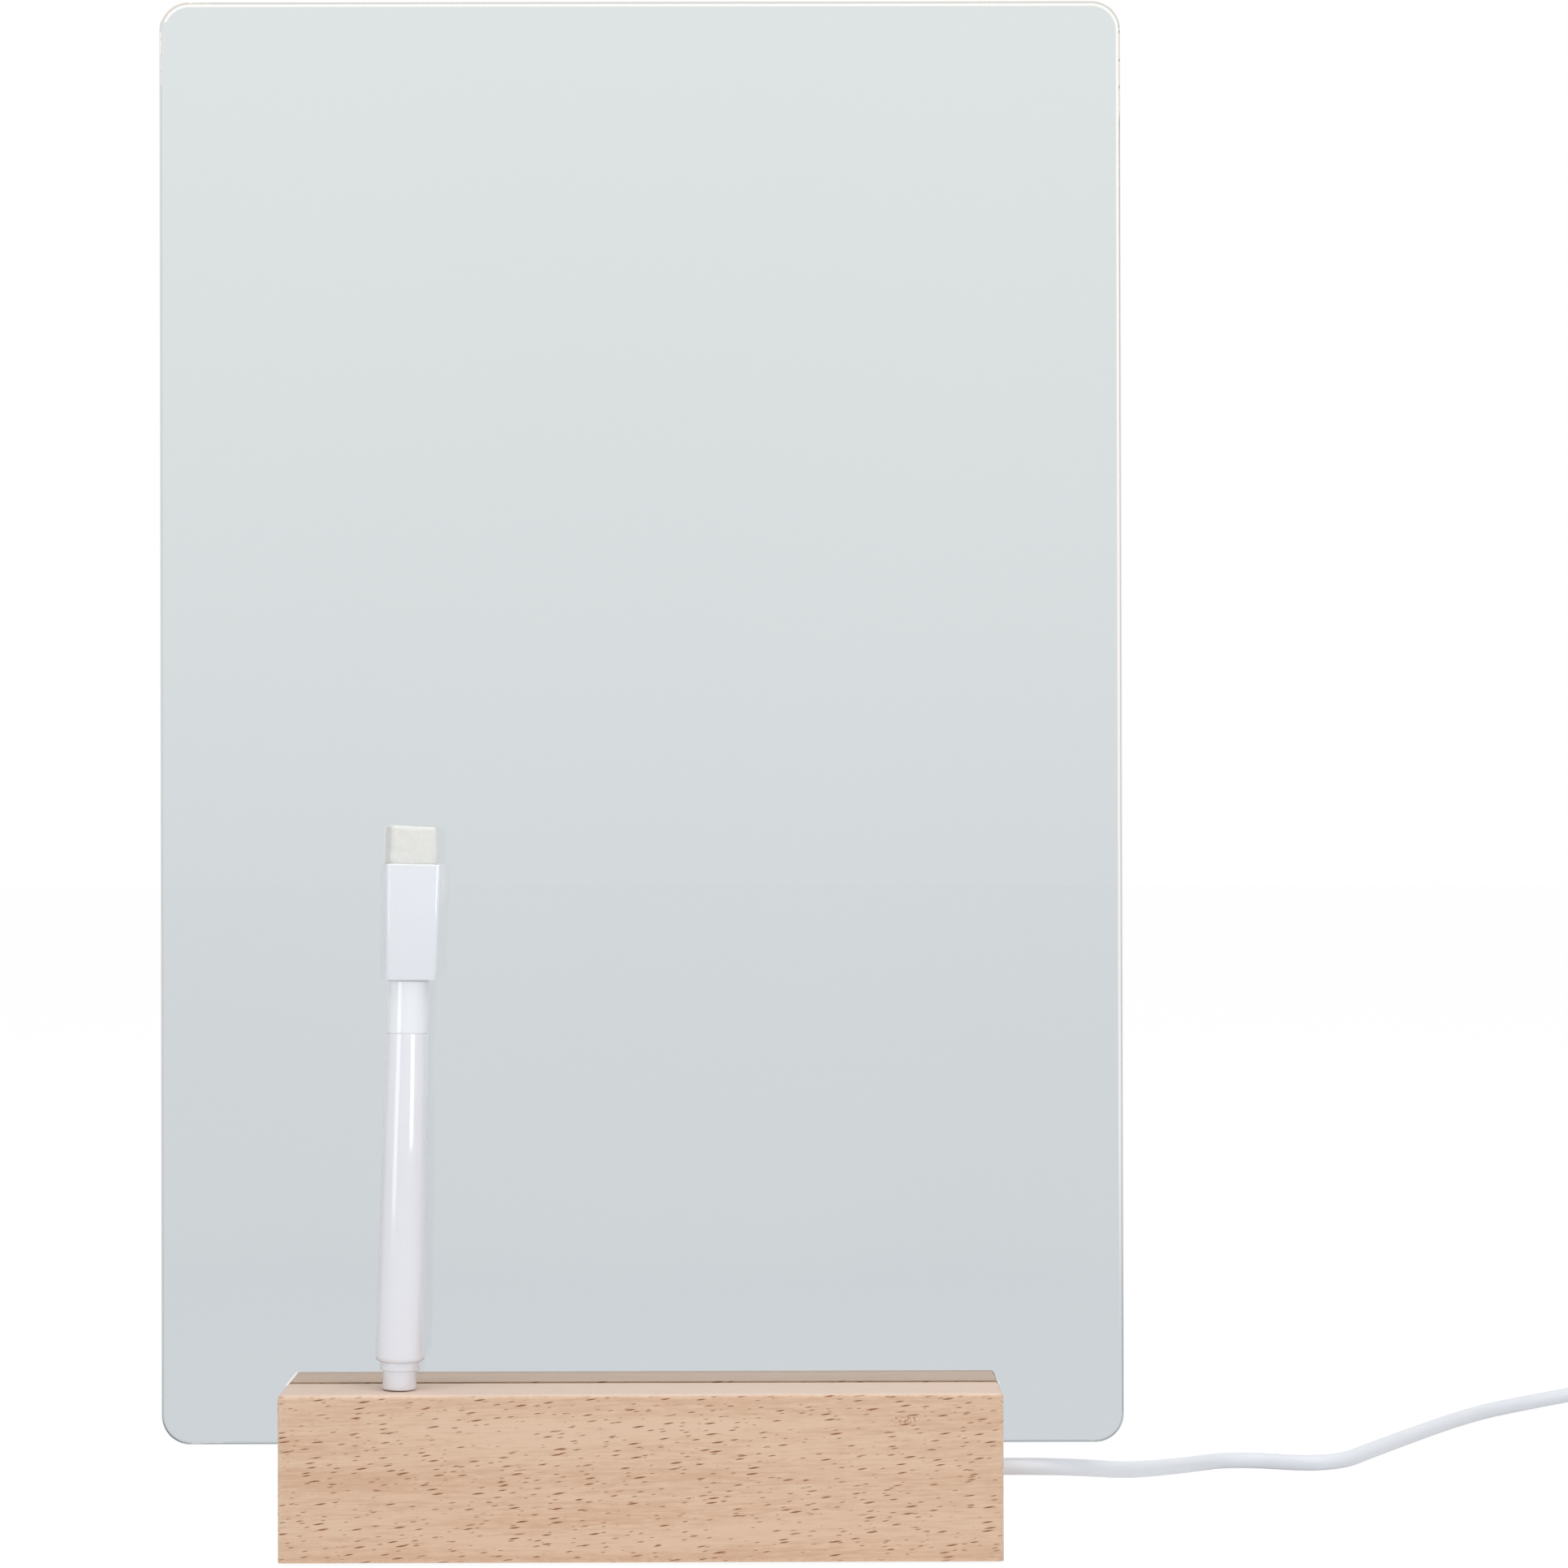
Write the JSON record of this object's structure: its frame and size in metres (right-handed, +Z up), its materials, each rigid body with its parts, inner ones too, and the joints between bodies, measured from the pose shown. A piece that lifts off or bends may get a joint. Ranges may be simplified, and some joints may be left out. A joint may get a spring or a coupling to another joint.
{
  "type": "led writing board",
  "caption": "Clear acrylic writing board edge-lit from a slotted beech base, with a capped dry marker standing on the base's lip and a USB lead with an inline switch.",
  "frame": {"origin": "middle of the base's footprint, on the table", "axes": "+X to the right along the board, +Y to the back, +Z up"},
  "size_m": [0.4231, 0.2095, 0.3222],
  "materials": {
    "pad_rubber": "matt",
    "cover_plastic": "fine matt",
    "screw_steel": "plain zinc",
    "beech": "sanded and lightly oiled",
    "clear_acrylic": "polished, clear",
    "white_board": "white solder mask",
    "led_lens": "warm white diode",
    "black_component": "matt",
    "white_soft_plastic": "soft satin",
    "cord_jacket": "smooth satin vinyl",
    "white_nylon": "nylon",
    "red_wire": "satin",
    "black_wire": "satin",
    "solder": "bright tin",
    "marker_white": "satin gloss",
    "marker_section_white": "glossy",
    "felt_nib": "ink-soaked felt",
    "fibre_reservoir": "fibre",
    "cap_white": "glossy",
    "eraser_felt_white": "pressed felt",
    "switch_white": "fine matt",
    "green_board": "solder mask",
    "button_grey": "fine matt",
    "tie_plastic": "matt",
    "plug_steel": "nickel plated",
    "tongue_plastic": "plain",
    "contact_gold": "gilt"
  },
  "bodies": {
    "stand": {"grip_pads": "pad_rubber", "bottom_cover": "cover_plastic", "cover_screws": "screw_steel", "wood_base": "beech", "led_board": "white_board", "leds": "led_lens", "led_resistors": "black_component", "bar_screws": "screw_steel", "cord_grommet": "white_soft_plastic", "cord_inside": "cord_jacket", "cord_stop_tie": "white_nylon", "feed_wire_red": "red_wire", "feed_wire_black": "black_wire", "solder_joints": "solder", "cord_lead": "cord_jacket", "switch_bottom": "switch_white", "switch_top": "switch_white", "switch_board": "green_board", "switch_boots": "cord_jacket", "cord_middle": "cord_jacket", "cord_coil": "cord_jacket", "coil_tie": "tie_plastic", "cord_tail": "cord_jacket", "usb_boot": "cord_jacket", "usb_body": "switch_white", "usb_shell": "plug_steel", "usb_tongue": "tongue_plastic", "usb_contacts": "contact_gold"},
    "board": {"acrylic_board": "clear_acrylic"},
    "marker": {"marker_plug": "marker_white", "marker_barrel": "marker_white", "marker_section": "marker_section_white", "marker_nib": "felt_nib", "ink_reservoir": "fibre_reservoir"},
    "cap": {"marker_cap": "cap_white", "eraser_felt": "eraser_felt_white"},
    "button": {"switch_button": "button_grey"}
  },
  "joints": [
    {"name": "board_lift", "type": "slide", "parent": "stand", "child": "board", "axis": [0, 0, 1], "range_m": [0, 0.04]},
    {"name": "marker_lift", "type": "slide", "parent": "stand", "child": "marker", "axis": [0, 0, 1], "range_m": [0, 0.04]},
    {"name": "cap_pull", "type": "slide", "parent": "marker", "child": "cap", "axis": [0.0236, 0.0105, 0.9997], "range_m": [0, 0.02]},
    {"name": "button_press", "type": "slide", "parent": "stand", "child": "button", "axis": [0, 0, -1], "range_m": [0, 0.0008], "stiffness_N_per_m": 400, "springref_m": -0.0015}
  ]
}
